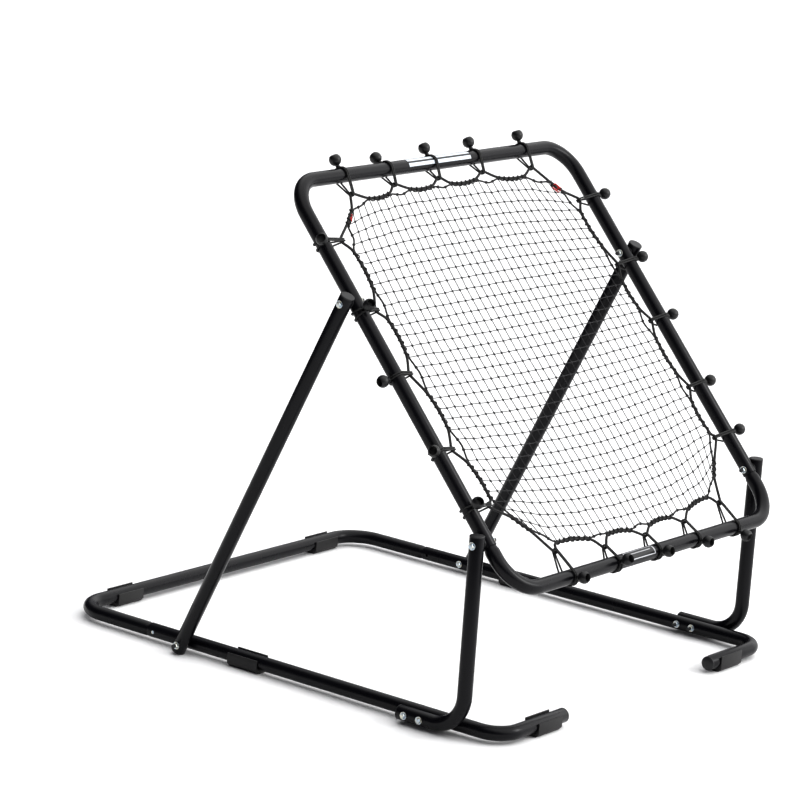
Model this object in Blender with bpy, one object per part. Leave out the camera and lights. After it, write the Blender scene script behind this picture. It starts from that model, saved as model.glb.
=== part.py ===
"""Pitch back rebounder: a tilted net in a tube frame, on a tubular base.

Metres, +Z up.  The object faces -Y, X runs from its left to its right side, the floor is Z = 0 and
the origin is the middle of the footprint.
"""
import math

import bmesh
import bpy
from mathutils import Matrix, Vector

# ---- driving dimensions -------------------------------------------------------------------------
TUBE_R = 0.016            # outer radius of every frame tube
WALL = 0.0014             # tube wall
SHOULDER = 0.004          # length over which a swaged end steps down
SWAGE_R = 0.0141          # outer radius of a tube end that slides into the next tube
SIDES = 12                # facets round a tube
BEND_STEPS = 6            # facets along a 90 degree bend

BASE_Z = 0.0225           # height of the base tubes' centre line
BASE_X = 0.503            # base rails, left and right of the middle
BASE_FRONT = -0.5824      # centre line of the front foot bars
BASE_REAR = 0.6136        # centre line of the rear bar
REAR_BEND_R = 0.078
FRONT_BEND_R = 0.055
FOOT_END_X = 0.284        # inner end of each front foot bar
SEAM_Y = 0.3846           # where the rear U slides into the rails
SEAM_DEPTH = 0.055
SPARE_HOLE_Y = 0.3681     # second strut hole, used for a flatter net

OUTER_X = 0.5355          # posts and struts run just outside the rails
PIVOT_Y = -0.5050         # axis on which the net frame tilts
PIVOT_Z = BASE_Z + 0.4005
POST_BEND_R = 0.074
POST_LEG_END = -0.3430    # rear end of a post's lower leg
POST_BOLT_Y = (-0.3630, -0.4034)
CAP_ABOVE_BOLT = 0.017

PANEL_X = 0.500           # side tubes of the net frame
PANEL_TILT = math.radians(48.5)
PANEL_TOP = 0.877         # from the pivot up to the top bar
PANEL_BOTTOM = -0.122     # from the pivot down to the bottom bar
TOP_BEND_R = 0.080
BOTTOM_BEND_R = 0.082
PANEL_SEAM = -0.013       # the upper tube ends just below the pivot
PANEL_SWAGE_TOP = 0.040   # the lower tube reaches this far up inside it

STRUT_BOLT = 0.582        # from the pivot up to the struts' top bolts
STRUT_FOOT_Y = 0.2693     # bolt that holds a strut to its rail
STRUT_FOOT_END = 0.015    # strut beyond its lower bolt

CLIP_LENGTH = 0.084
CLIP_WALL = 0.003
CLIP_LOW = 0.0085         # top of the lower wall, above the tube's centre line
CLIP_HIGH = 0.0155        # top of the higher wall
REAR_CLIP_X = {"left": -0.337, "right": 0.380}
MID_CLIP_Y = 0.105
FRONT_CLIP_X = 0.352

BOLT_R = 0.0028
HOLE_R = 0.0034
HEAD_R = 0.0080
HEAD_H = 0.0048
NUT_H = 0.0050
TAIL_R = 0.0038           # thread protector
BOLT_TAIL = 0.0060        # its length past the nut
SPACER_R = 0.0105
SPACER_THICK = 0.0029     # between a side tube and the post or strut beside it
GAP = 0.0003

BALL_R = 0.0125
BALL_OUT = 0.0370         # ball centre from the tube's centre line
NECK_R = 0.0035           # knot between a ball and its loop
LOOP_R = 0.0187           # bungee cord's centre line round the tube
LOOP_WIDE = 0.0070
LOOP_THICK = 0.0030
ROPE_R = 0.0030
ROPE_SLACK = 0.0014       # between the rope and the loop that holds it
PEAK_IN = 0.046           # rope held by a bungee, in from the tube's centre line
VALLEY_IN = 0.069         # rope between two bungees
NET_IN = 0.0048           # net edge inside the rope's centre line
NET_THICK = 0.0020
TOP_BUNGEES = (-0.330, -0.168, -0.005, 0.158, 0.330)
BOTTOM_BUNGEES = (-0.304, -0.143, 0.018, 0.173, 0.330)
SIDE_BUNGEES = (0.729, 0.550, 0.396, 0.218, 0.081)
# where each ball sits round its tube: 180 is outward, 90 is in front
TOP_BALLS = (172, 195, 172, 170, 164)
BOTTOM_BALLS = (120, 106, 118, 127, 148)
LEFT_BALLS = (139, 104, 193, 151, 106)
RIGHT_BALLS = (160, 150, 164, 166, 160)

COLOURS = {
    "frame_black": ((0.016, 0.017, 0.020), 0.38, 0.25),
    "clip_black": ((0.020, 0.020, 0.022), 0.55, 0.0),
    "cap_black": ((0.030, 0.030, 0.032), 0.50, 0.0),
    "zinc": ((0.62, 0.65, 0.68), 0.28, 1.0),
    "bungee_black": ((0.014, 0.014, 0.015), 0.60, 0.0),
    "rope_black": ((0.018, 0.018, 0.018), 0.85, 0.0),
    "net_black": ((0.025, 0.025, 0.027), 0.80, 0.0),
}
X_AXIS, Y_AXIS, Z_AXIS = Vector((1, 0, 0)), Vector((0, 1, 0)), Vector((0, 0, 1))


# ---- scene and helpers --------------------------------------------------------------------------
for old in list(bpy.data.objects):
    bpy.data.objects.remove(old)

materials = {}
for slot, (colour, roughness, metallic) in COLOURS.items():
    material = bpy.data.materials.new(slot)
    material.use_nodes = True
    shader = material.node_tree.nodes["Principled BSDF"]
    shader.inputs["Base Color"].default_value = (*colour, 1.0)
    shader.inputs["Roughness"].default_value = roughness
    shader.inputs["Metallic"].default_value = metallic
    materials[slot] = material


def add(name, mesh, slot, location=(0, 0, 0), rotation=(0, 0, 0), parent=None):
    """Put a mesh in the scene as one named sub-part."""
    if not mesh.materials:
        mesh.materials.append(materials[slot])
    obj = bpy.data.objects.new(name, mesh)
    obj.location, obj.rotation_euler, obj.parent = location, rotation, parent
    bpy.context.scene.collection.objects.link(obj)
    return obj


def empty(name, location, rotation, parent=None):
    """A pivot: the pieces that turn together hang on it."""
    obj = bpy.data.objects.new(name, None)
    obj.location, obj.rotation_euler, obj.parent = location, rotation, parent
    bpy.context.scene.collection.objects.link(obj)
    return obj


def to_mesh(bm, name, smooth=True):
    """Close off a bmesh: outward faces, smooth sides, sharp edges where it turns."""
    bmesh.ops.recalc_face_normals(bm, faces=bm.faces)
    mesh = bpy.data.meshes.new(name)
    bm.to_mesh(mesh)
    bm.free()
    if smooth:
        mesh.shade_smooth()
        mesh.set_sharp_from_angle(angle=math.radians(38))
    return mesh


def frame_along(heading):
    """Turn +Z to a heading, keeping X as the first axis so that facets end up square to it."""
    heading = Vector(heading).normalized()
    side = X_AXIS if abs(heading.dot(X_AXIS)) < 0.9 else Z_AXIS
    across = heading.cross(side).normalized()
    return Matrix((side, across, heading)).transposed().to_4x4()


def extrude(bm, faces, move):
    """Pull a patch of faces out by a vector; gives the moved faces and vertices."""
    edges = dict.fromkeys(e for f in faces for e in f.edges)
    made = bmesh.ops.extrude_face_region(bm, geom=[*faces, *edges])["geom"]
    verts = [g for g in made if isinstance(g, bmesh.types.BMVert)]
    bmesh.ops.translate(bm, verts=verts, vec=move)
    return [g for g in made if isinstance(g, bmesh.types.BMFace)], verts


class Tube:
    """A round tube drawn from one open end to the other; its ends can be swaged thinner."""

    def __init__(self, start, heading, swaged=0.0):
        self.bm = bmesh.new()
        self.at, self.heading = Vector(start), Vector(heading).normalized()
        place = Matrix.Translation(self.at) @ frame_along(self.heading)
        place @= Matrix.Rotation(math.pi / SIDES, 4, "Z")
        radius = SWAGE_R if swaged else TUBE_R
        for r in (radius, radius - WALL):
            bmesh.ops.create_circle(self.bm, segments=SIDES, radius=r, matrix=place)
        self.faces = bmesh.ops.bridge_loops(self.bm, edges=self.bm.edges[:])["faces"]
        if swaged:
            self.straight(swaged).step(TUBE_R / SWAGE_R)

    def straight(self, length):
        self.faces, self.verts = extrude(self.bm, self.faces, self.heading * length)
        self.at += self.heading * length
        return self

    def step(self, factor):
        """A short shoulder where the tube changes diameter."""
        self.straight(SHOULDER)
        space = (Matrix.Translation(self.at) @ frame_along(self.heading)).inverted()
        bmesh.ops.scale(self.bm, verts=self.verts, vec=(factor, factor, 1), space=space)
        return self

    def bend(self, towards, radius):
        """A right-angle bend towards a direction square to the heading."""
        towards = Vector(towards).normalized()
        axis = self.heading.cross(towards)
        centre = self.at + towards * radius
        edges = dict.fromkeys(e for f in self.faces for e in f.edges)
        made = bmesh.ops.spin(self.bm, geom=[*self.faces, *edges], cent=centre, axis=axis, angle=math.pi / 2,
                              steps=BEND_STEPS, use_duplicate=False)["geom_last"]
        self.faces = [g for g in made if isinstance(g, bmesh.types.BMFace)]
        self.at, self.heading = centre + self.heading * radius, towards
        return self

    def mesh(self, name):
        return to_mesh(self.bm, name)


def drill(obj, points, reach):
    """Cross holes along X at the given points, in the object's own frame."""
    for number, (x, y, z) in enumerate(points):
        bm = bmesh.new()
        turn = Matrix.Translation((x, y, z)) @ Matrix.Rotation(math.pi / 2, 4, "Y")
        bmesh.ops.create_cone(bm, cap_ends=True, segments=8, radius1=HOLE_R, radius2=HOLE_R,
                              depth=reach, matrix=turn)
        cutter = add(f"{obj.name}_drill_{number}", to_mesh(bm, "drill", False), "zinc")
        cutter.location, cutter.rotation_euler = obj.location, obj.rotation_euler
        cutter.parent = obj.parent
        cutter.hide_render, cutter.display_type = True, "WIRE"
        cut = obj.modifiers.new("hole", "BOOLEAN")
        cut.operation, cut.solver, cut.object = "DIFFERENCE", "EXACT", cutter


def turned(profile, sides, phase=0.0):
    """A closed solid along +Z from (height, radius, hexagonal) rings."""
    bm = bmesh.new()
    rings = []
    for height, radius, is_hex in profile:
        ring = []
        for k in range(sides):
            angle = 2 * math.pi * k / sides + phase
            r = radius
            if is_hex:
                r = radius / math.cos((angle + math.pi / 6) % (math.pi / 3) - math.pi / 6)
            ring.append(bm.verts.new((r * math.cos(angle), r * math.sin(angle), height)))
        rings.append(ring)
    for low, high in zip(rings, rings[1:]):
        for k in range(sides):
            j = (k + 1) % sides
            bm.faces.new((low[k], low[j], high[j], high[k]))
    bm.faces.new(rings[0][::-1])
    bm.faces.new(rings[-1])
    return bm


# ---- base ---------------------------------------------------------------------------------------
leg = BASE_REAR - REAR_BEND_R - SEAM_Y - SHOULDER
rear = Tube((-BASE_X, SEAM_Y - SEAM_DEPTH, BASE_Z), Y_AXIS, swaged=SEAM_DEPTH)
rear.straight(leg).bend(X_AXIS, REAR_BEND_R).straight(2 * (BASE_X - REAR_BEND_R))
rear.bend(-Y_AXIS, REAR_BEND_R).straight(leg).step(SWAGE_R / TUBE_R).straight(SEAM_DEPTH)
rear_obj = add("rear_base_tube", rear.mesh("rear_base_tube"), "frame_black")
drill(rear_obj, [(-BASE_X, SPARE_HOLE_Y, BASE_Z), (BASE_X, SPARE_HOLE_Y, BASE_Z)], 0.05)

for side, word in ((-1, "left"), (1, "right")):
    rail = Tube((side * BASE_X, SEAM_Y, BASE_Z), -Y_AXIS)
    rail.straight(SEAM_Y - BASE_FRONT - FRONT_BEND_R)
    rail.bend(-side * X_AXIS, FRONT_BEND_R)
    rail.straight(BASE_X - FRONT_BEND_R - FOOT_END_X)
    rail_obj = add(f"{word}_base_rail", rail.mesh(f"{word}_base_rail"), "frame_black")
    holes = [SPARE_HOLE_Y, STRUT_FOOT_Y, *POST_BOLT_Y]
    drill(rail_obj, [(side * BASE_X, y, BASE_Z) for y in holes], 0.05)


def clip_mesh():
    """Saddle foot pushed onto a tube from below: a cradle, flat walls, open top, chamfered sole.

    It lies along Y; the wall on its +X side is the higher one.
    """
    inner = (TUBE_R + GAP) / math.cos(math.radians(8))
    outer = inner + CLIP_WALL
    points = [(outer, CLIP_HIGH), (outer, -0.0150), (outer - 0.0075, -BASE_Z),
              (-outer + 0.0075, -BASE_Z), (-outer, -0.0150), (-outer, CLIP_LOW), (-inner, CLIP_LOW)]
    for k in range(13):
        angle = math.pi + k * math.pi / 12
        points.append((inner * math.cos(angle), inner * math.sin(angle)))
    points.append((inner, CLIP_HIGH))
    bm = bmesh.new()
    verts = [bm.verts.new((x, -CLIP_LENGTH / 2, z)) for x, z in points]
    face = bm.faces.new(verts)
    extrude(bm, [face], Vector((0, CLIP_LENGTH, 0)))
    return to_mesh(bm, "foot_clip")


clip = clip_mesh()
QUARTER, HALF = math.pi / 2, math.pi
for side, word, front_turn in ((-1, "left", QUARTER), (1, "right", -QUARTER)):
    add(f"foot_clip_rear_{word}", clip, "clip_black", (REAR_CLIP_X[word], BASE_REAR, BASE_Z),
        (0, 0, QUARTER))
    add(f"foot_clip_mid_{word}", clip, "clip_black", (side * BASE_X, MID_CLIP_Y, BASE_Z),
        (0, 0, HALF if side > 0 else 0))
    add(f"foot_clip_front_{word}", clip, "clip_black",
        (side * FRONT_CLIP_X, BASE_FRONT, BASE_Z), (0, 0, front_turn))


def cap_mesh(name, stem=0.012, lip=0.0025):
    """Push-in end cap: a stem inside the tube and a lip as wide as the tube, along +Z."""
    bore = TUBE_R - WALL - GAP
    profile = [(-stem, bore - 0.001, False), (0.0002, bore, False), (GAP, TUBE_R, False),
               (lip, TUBE_R, False), (lip + 0.0012, TUBE_R - 0.002, False)]
    return to_mesh(turned(profile, SIDES, phase=math.pi / SIDES), name)


cap = cap_mesh("tube_cap")
for side, word in ((-1, "left"), (1, "right")):
    add(f"foot_cap_{word}", cap, "cap_black", (side * (FOOT_END_X), BASE_FRONT, BASE_Z),
        (0, -side * math.pi / 2, 0))

# ---- posts --------------------------------------------------------------------------------------
for side, word in ((-1, "left"), (1, "right")):
    post = Tube((side * OUTER_X, POST_LEG_END, BASE_Z), -Y_AXIS)
    post.straight(POST_LEG_END - PIVOT_Y - POST_BEND_R).bend(Z_AXIS, POST_BEND_R)
    post.straight(PIVOT_Z + CAP_ABOVE_BOLT - BASE_Z - POST_BEND_R)
    post_obj = add(f"{word}_post", post.mesh(f"{word}_post"), "frame_black")
    x = side * OUTER_X
    drill(post_obj, [(x, PIVOT_Y, PIVOT_Z), *((x, y, BASE_Z) for y in POST_BOLT_Y)], 0.05)
    add(f"{word}_post_cap", cap, "cap_black", (x, PIVOT_Y, PIVOT_Z + CAP_ABOVE_BOLT))


# ---- bolts --------------------------------------------------------------------------------------
def bolt_mesh(name, grip, head=True, nut=True):
    """Flanged head, shank, nut and capped thread end as one fastener; +Z runs from head to nut."""
    profile = []
    if head:
        profile += [(-HEAD_H, HEAD_R * 0.66, False), (-HEAD_H * 0.35, HEAD_R * 0.75, False),
                    (-HEAD_H * 0.30, HEAD_R, False), (0.0, HEAD_R, False), (0.0, BOLT_R, False)]
    else:
        profile += [(0.0, BOLT_R, False)]
    profile += [(grip, BOLT_R, False)]
    if nut:
        profile += [(grip, 0.0058, True), (grip + NUT_H, 0.0058, True),
                    (grip + NUT_H, TAIL_R, False), (grip + NUT_H + BOLT_TAIL, TAIL_R, False)]
    return to_mesh(turned(profile, 12 if nut else 8), name)


outside = OUTER_X + TUBE_R + GAP
long_grip = outside - (PANEL_X - TUBE_R - GAP)
short_grip = outside - (BASE_X - TUBE_R - GAP)
long_bolt = bolt_mesh("long_bolt", long_grip)
short_bolt = bolt_mesh("short_bolt", short_grip)
split = OUTER_X - TUBE_R
foot_head = bolt_mesh("foot_bolt", split - GAP - 0.0002 - (BASE_X - TUBE_R - GAP), nut=False)
foot_nut = bolt_mesh("foot_nut", outside - split, head=False)


def spacer_mesh():
    """Plain plastic spacer, bored for the bolt; +Z runs outward."""
    bm = bmesh.new()
    for r in (SPACER_R, HOLE_R):
        bmesh.ops.create_circle(bm, segments=12, radius=r)
    ring = bmesh.ops.bridge_loops(bm, edges=bm.edges[:])["faces"]
    extrude(bm, ring, Vector((0, 0, SPACER_THICK)))
    return to_mesh(bm, "spacer")


spacer = spacer_mesh()

for side, word in ((-1, "left"), (1, "right")):
    inward = (0, -side * math.pi / 2, 0)
    outward = (0, side * math.pi / 2, 0)
    add(f"{word}_pivot_bolt", long_bolt, "zinc", (side * outside, PIVOT_Y, PIVOT_Z), inward)
    for number, y in enumerate(POST_BOLT_Y, 1):
        add(f"{word}_post_bolt_{number}", short_bolt, "zinc", (side * outside, y, BASE_Z), inward)
    add(f"{word}_foot_bolt", foot_head, "zinc",
        (side * (BASE_X - TUBE_R - GAP), STRUT_FOOT_Y, BASE_Z), outward)
    add(f"{word}_pivot_spacer", spacer, "cap_black",
        (side * (PANEL_X + TUBE_R + GAP), PIVOT_Y, PIVOT_Z), outward)

# ---- net frame: everything below hangs on the tilting axis ---------------------------------------
panel = empty("panel_axis", (0, PIVOT_Y, PIVOT_Z), (PANEL_TILT, 0, 0))

upper = Tube((-PANEL_X, PANEL_SEAM, 0), Y_AXIS)
upper.straight(PANEL_TOP - TOP_BEND_R - PANEL_SEAM).bend(X_AXIS, TOP_BEND_R)
upper.straight(2 * (PANEL_X - TOP_BEND_R)).bend(-Y_AXIS, TOP_BEND_R)
upper.straight(PANEL_TOP - TOP_BEND_R - PANEL_SEAM)
upper_obj = add("panel_upper_tube", upper.mesh("panel_upper_tube"), "frame_black", parent=panel)
drill(upper_obj, [(s * PANEL_X, y, 0) for s in (-1, 1) for y in (0.0, STRUT_BOLT)], 0.05)

run = PANEL_SEAM - GAP - SHOULDER - PANEL_BOTTOM - BOTTOM_BEND_R
lower = Tube((-PANEL_X, PANEL_SWAGE_TOP, 0), -Y_AXIS, swaged=PANEL_SWAGE_TOP - PANEL_SEAM + GAP)
lower.straight(run).bend(X_AXIS, BOTTOM_BEND_R).straight(2 * (PANEL_X - BOTTOM_BEND_R))
lower.bend(Y_AXIS, BOTTOM_BEND_R).straight(run).step(SWAGE_R / TUBE_R)
lower.straight(PANEL_SWAGE_TOP - PANEL_SEAM + GAP)
lower_obj = add("panel_lower_tube", lower.mesh("panel_lower_tube"), "frame_black", parent=panel)
drill(lower_obj, [(-PANEL_X, 0, 0), (PANEL_X, 0, 0)], 0.05)

# ---- struts: each hangs on its top bolt -----------------------------------------------------------
top_y = PIVOT_Y + STRUT_BOLT * math.cos(PANEL_TILT)
top_z = PIVOT_Z + STRUT_BOLT * math.sin(PANEL_TILT)
strut_length = math.hypot(STRUT_FOOT_Y - top_y, BASE_Z - top_z)
strut_angle = math.atan2(BASE_Z - top_z, STRUT_FOOT_Y - top_y) - PANEL_TILT
for side, word in ((-1, "left"), (1, "right")):
    inward = (0, -side * math.pi / 2, 0)
    outward = (0, side * math.pi / 2, 0)
    add(f"{word}_strut_bolt", long_bolt, "zinc", (side * outside, STRUT_BOLT, 0), inward, panel)
    add(f"{word}_strut_spacer", spacer, "cap_black",
        (side * (PANEL_X + TUBE_R + GAP), STRUT_BOLT, 0), outward, panel)
    hinge = empty(f"{word}_strut_axis", (0, STRUT_BOLT, 0), (strut_angle, 0, 0), panel)
    x = side * OUTER_X
    strut = Tube((x, -CAP_ABOVE_BOLT, 0), Y_AXIS)
    strut.straight(CAP_ABOVE_BOLT + strut_length + STRUT_FOOT_END)
    strut_obj = add(f"{word}_strut", strut.mesh(f"{word}_strut"), "frame_black", parent=hinge)
    drill(strut_obj, [(x, 0, 0), (x, strut_length, 0)], 0.05)
    add(f"{word}_strut_cap", cap, "cap_black", (x, -CAP_ABOVE_BOLT, 0), (math.pi / 2, 0, 0), hinge)
    add(f"{word}_foot_nut", foot_nut, "zinc", (side * split, strut_length, 0), outward, hinge)


# ---- bungees: a loop round the tube and the border rope, closed by a ball --------------------------
def loop_points(reach):
    """Centre line of the cord: round the tube, then drawn in round the rope at (reach, 0)."""
    small = ROPE_R + LOOP_THICK / 2 + ROPE_SLACK
    meet = math.acos((LOOP_R - small) / reach)
    points = []
    for k in range(9):
        angle = meet + (2 * math.pi - 2 * meet) * k / 8
        points.append((LOOP_R * math.cos(angle), LOOP_R * math.sin(angle)))
    for k in range(4):
        angle = -meet + 2 * meet * k / 3
        points.append((reach + small * math.cos(angle), small * math.sin(angle)))
    return points


def loop_mesh(name):
    """Flat doubled cord in the local XY plane: the tube runs along Z, +X points into the net."""
    points = loop_points(PEAK_IN)
    bm = bmesh.new()
    rings = []
    for k, (x, y) in enumerate(points):
        before, after = Vector(points[k - 1]), Vector(points[(k + 1) % len(points)])
        along = (after - before).normalized()
        out = Vector((along.y, -along.x)) * LOOP_THICK / 2
        half = LOOP_WIDE / 2
        rings.append([bm.verts.new((x + s * out.x, y + s * out.y, z))
                      for s, z in ((-1, -half), (1, -half), (1, half), (-1, half))])
    for low, high in zip(rings, rings[1:] + rings[:1]):
        for k in range(4):
            j = (k + 1) % 4
            bm.faces.new((low[k], low[j], high[j], high[k]))
    return to_mesh(bm, name)


def ball_mesh(name, degrees):
    """Ball on its knot, turned about a line that leaves the tube's axis at the given angle."""
    profile = [(LOOP_R, NECK_R, False), (BALL_OUT - 0.0112, NECK_R + 0.001, False),
               (BALL_OUT - 0.0072, 0.0102, False), (BALL_OUT, BALL_R, False),
               (BALL_OUT + 0.0072, 0.0102, False), (BALL_OUT + 0.0116, 0.0045, False)]
    bm = turned(profile, 8)
    turn = Matrix.Rotation(math.radians(degrees), 4, "Z") @ Matrix.Rotation(math.pi / 2, 4, "Y")
    bmesh.ops.transform(bm, matrix=turn, verts=bm.verts)
    return to_mesh(bm, name)


def bungee(name, x, y, turn, degrees):
    """One bungee at (x, y) on the net frame, its local +X turned to face the net's middle."""
    rotation = Matrix.Rotation(turn, 3, "Z") @ Matrix.Rotation(math.pi / 2, 3, "X")
    place = ((x, y, 0), rotation.to_euler(), panel)
    obj = add(name, loop_mesh(name), "bungee_black", *place)
    ball = add(f"{name}_ball", ball_mesh(f"{name}_ball", degrees), "bungee_black", *place)
    ball.hide_render, ball.display_type = True, "WIRE"
    union = obj.modifiers.new("ball", "BOOLEAN")
    union.operation, union.solver, union.object = "UNION", "EXACT", ball


for number in range(5):
    label = number + 1
    bungee(f"bungee_top_{label}", TOP_BUNGEES[number], PANEL_TOP, -math.pi / 2, TOP_BALLS[number])
    bungee(f"bungee_bottom_{label}", BOTTOM_BUNGEES[number], PANEL_BOTTOM, math.pi / 2,
           BOTTOM_BALLS[number])
    bungee(f"bungee_left_{label}", -PANEL_X, SIDE_BUNGEES[number], 0.0, LEFT_BALLS[number])
    bungee(f"bungee_right_{label}", PANEL_X, SIDE_BUNGEES[number], math.pi, RIGHT_BALLS[number])


# ---- border rope and net ----------------------------------------------------------------------------
def rope_points():
    """The rope's route in the net frame's plane: a peak at each bungee, a sag between two."""
    step = Vector((LOOP_WIDE / 2 + 1.8 * ROPE_R, 0))
    up = Vector((0, step.x))
    peaks = [(Vector((x, PANEL_TOP - PEAK_IN)), step) for x in TOP_BUNGEES]
    peaks += [(Vector((PANEL_X - PEAK_IN, y)), -up) for y in SIDE_BUNGEES]
    peaks += [(Vector((x, PANEL_BOTTOM + PEAK_IN)), -step) for x in reversed(BOTTOM_BUNGEES)]
    peaks += [(Vector((PEAK_IN - PANEL_X, y)), up) for y in reversed(SIDE_BUNGEES)]
    route = []
    for (here, run), (there, next_run) in zip(peaks, peaks[1:] + peaks[:1]):
        chord = there - here
        inward = Vector((chord.y, -chord.x)).normalized()
        corner = run != next_run
        sag = inward * (VALLEY_IN - PEAK_IN) * (0.4 if corner else 1.0)
        route += [here - run, here + run, here + chord / 2 + sag]
    return route


def ring_of(route, inset):
    """Points of a closed route moved inward by a distance, along each corner's bisector."""
    moved = []
    for k, here in enumerate(route):
        before, after = route[k - 1], route[(k + 1) % len(route)]
        along = (after - before).normalized()
        moved.append(here + Vector((along.y, -along.x)) * inset)
    return moved


def rope_mesh(route):
    """A six-sided rope along the closed route."""
    bm = bmesh.new()
    rings = []
    for k, here in enumerate(route):
        along = (route[(k + 1) % len(route)] - route[k - 1]).normalized()
        out = Vector((along.y, -along.x))
        ring = []
        for j in range(6):
            angle = math.pi * j / 3 + math.pi / 6
            at = here + out * ROPE_R * math.cos(angle)
            ring.append(bm.verts.new((at.x, at.y, ROPE_R * math.sin(angle))))
        rings.append(ring)
    for low, high in zip(rings, rings[1:] + rings[:1]):
        for k in range(6):
            j = (k + 1) % 6
            bm.faces.new((low[k], low[j], high[j], high[k]))
    return to_mesh(bm, "border_rope")


def net_mesh(edge):
    """The knotted net as a thin closed sheet inside the rope."""
    bm = bmesh.new()
    face = bm.faces.new([bm.verts.new((p.x, p.y, -NET_THICK / 2)) for p in edge])
    extrude(bm, [face], Vector((0, 0, NET_THICK)))
    return to_mesh(bm, "net", False)


route = rope_points()
add("border_rope", rope_mesh(route), "rope_black", parent=panel)
add("net", net_mesh(ring_of(route[2::3], NET_IN)), "net_black", parent=panel)
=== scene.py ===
# %% [markdown]
# # A pitch back rebounder
#
# A square net is laced with ball bungees into a tilted frame of black steel tube. Two posts carry
# the frame's pivots, two struts hold it at its angle, and everything stands on a tube base with
# clip-on feet. A ball thrown at the net comes back to the thrower.
#
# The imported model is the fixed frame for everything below: its bodies say what moves, and each
# new piece rides on one of them. Loading it comes first.

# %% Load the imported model
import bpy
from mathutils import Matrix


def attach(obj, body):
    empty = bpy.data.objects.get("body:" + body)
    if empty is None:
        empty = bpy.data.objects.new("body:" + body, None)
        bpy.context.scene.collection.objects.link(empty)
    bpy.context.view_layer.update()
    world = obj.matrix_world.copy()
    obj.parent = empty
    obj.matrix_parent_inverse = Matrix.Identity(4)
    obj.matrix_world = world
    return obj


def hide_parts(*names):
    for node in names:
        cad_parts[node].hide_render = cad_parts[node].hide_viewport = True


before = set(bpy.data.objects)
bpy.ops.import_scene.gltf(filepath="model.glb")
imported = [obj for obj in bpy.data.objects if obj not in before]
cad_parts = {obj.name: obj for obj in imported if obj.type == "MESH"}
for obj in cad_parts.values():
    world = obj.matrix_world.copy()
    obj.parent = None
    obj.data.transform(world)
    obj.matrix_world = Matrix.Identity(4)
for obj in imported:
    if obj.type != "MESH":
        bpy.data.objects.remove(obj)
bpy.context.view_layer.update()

import math
import random

import bmesh
import bpy
from mathutils import Matrix, Vector

# %% [markdown]
# ## The camera
#
# A product picture of a frame like this is taken from far away with a long lens, so that parallel
# tubes stay nearly parallel. A lens of about 160 mm at eight metres does that. The camera stands
# to the front left at a low height, and it is rolled by a few degrees, as a hand-held one often
# is.

# %% Camera
LENS = 159.25
CAMERA_AT = Vector((-6.2400, -4.5595, 2.3253))
AZIMUTH, ELEVATION, ROLL = math.radians(-53.140), math.radians(12.961), math.radians(4.162)

camera_data = bpy.data.cameras.new("camera")
camera_data.lens, camera_data.sensor_width, camera_data.clip_end = LENS, 36.0, 200.0
camera = bpy.data.objects.new("camera", camera_data)
camera.matrix_world = (Matrix.Translation(CAMERA_AT) @ Matrix.Rotation(AZIMUTH, 4, "Z")
                       @ Matrix.Rotation(math.pi / 2 - ELEVATION, 4, "X")
                       @ Matrix.Rotation(ROLL, 4, "Z"))
bpy.context.scene.collection.objects.link(camera)
bpy.context.scene.camera = camera
bpy.context.scene.view_settings.view_transform = "Standard"
bpy.context.scene.view_settings.gamma = 0.80
print(f"camera {CAMERA_AT.length:.2f} m from the origin, lens {LENS} mm")

# %% [markdown]
# ## The studio
#
# Black satin tube is drawn by what it reflects, so the lights matter more than its colour does.
# The world is a plain gradient like a very large softbox: bright overhead and to the front right,
# and dim on the camera's side. It makes the white floor and the soft grey tops of the tubes, and
# leaves their sides dark. One lamp at the front right adds the sharper light on the bars.


# %% Floor, world and lights
def area_light(name, at, towards, width, height, power):
    """A soft rectangular lamp, turned to face a point."""
    data = bpy.data.lights.new(name, "AREA")
    data.shape, data.size, data.size_y, data.energy = "RECTANGLE", width, height, power
    lamp = bpy.data.objects.new(name, data)
    lamp.location = at
    lamp.rotation_euler = (Vector(towards) - Vector(at)).to_track_quat("-Z", "Y").to_euler()
    bpy.context.scene.collection.objects.link(lamp)


BRIGHT_SIDE, SKY_STRENGTH, LAMP_SIZE, LAMP_POWER = (0.45, -0.35, 0.83), 2.1, 2.2, 110
area_light("softbox", (2.6, -4.6, 3.2), (0, 0, 0.5), LAMP_SIZE, LAMP_SIZE, LAMP_POWER)

world = bpy.data.worlds.new("studio")
world.use_nodes = True
bpy.context.scene.world = world
tree = world.node_tree
direction = tree.nodes.new("ShaderNodeTexCoord")
aim = tree.nodes.new("ShaderNodeVectorMath")
aim.operation = "DOT_PRODUCT"
aim.inputs[1].default_value = BRIGHT_SIDE
ramp = tree.nodes.new("ShaderNodeValToRGB")
stops = ((0.62, (0.02, 0.02, 0.03, 1)), (0.85, (1, 1, 1, 1)))
for element, (position, colour) in zip(ramp.color_ramp.elements, stops):
    element.position, element.color = position, colour
half = tree.nodes.new("ShaderNodeMath")
half.operation = "MULTIPLY_ADD"
half.inputs[1].default_value, half.inputs[2].default_value = 0.5, 0.5
tree.links.new(direction.outputs["Generated"], aim.inputs[0])
tree.links.new(aim.outputs["Value"], half.inputs[0])
tree.links.new(half.outputs[0], ramp.inputs[0])
tree.links.new(ramp.outputs["Color"], tree.nodes["Background"].inputs["Color"])
tree.nodes["Background"].inputs["Strength"].default_value = SKY_STRENGTH

# %% [markdown]
# ## Writing a material
#
# Shader maths is easier to read as a sum than as a row of nodes. `Value` wraps one socket, and
# `+`, `-` and `*` on it add the Math nodes. `Finish` is one material. Its `node` method adds any
# other node: first the settings, then the values and links of its sockets. Anything that is the
# same all over the surface is set straight on the shader.


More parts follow.
